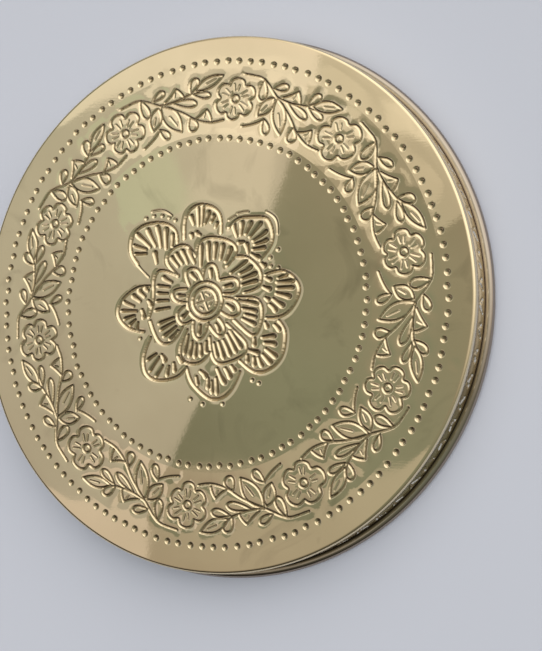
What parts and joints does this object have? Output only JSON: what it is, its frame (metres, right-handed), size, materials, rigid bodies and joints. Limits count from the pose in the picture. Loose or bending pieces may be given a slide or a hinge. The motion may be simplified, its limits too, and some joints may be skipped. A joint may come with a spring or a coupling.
{
  "type": "chased brass tray",
  "caption": "Round shallow sheet-brass tray with a chased flower border and rosette on its base and a wired rolled rim, stored upturned on that rim.",
  "frame": {"origin": "centre of the circle that the rolled rim stands on, with the tray upturned", "axes": "+Z is the tray's axis and points out of the chased base, the hollow opens towards -Z; +X is the right of the chased pattern and +Y its top"},
  "size_m": [0.3096, 0.3096, 0.026],
  "materials": {
    "polished_brass": "polished by hand, lightly tarnished, darker in the chased lines",
    "iron_wire": "drawn, dull"
  },
  "bodies": {
    "root": {"tray_sheet": "polished_brass", "rim_wire": "iron_wire"}
  },
  "joints": []
}
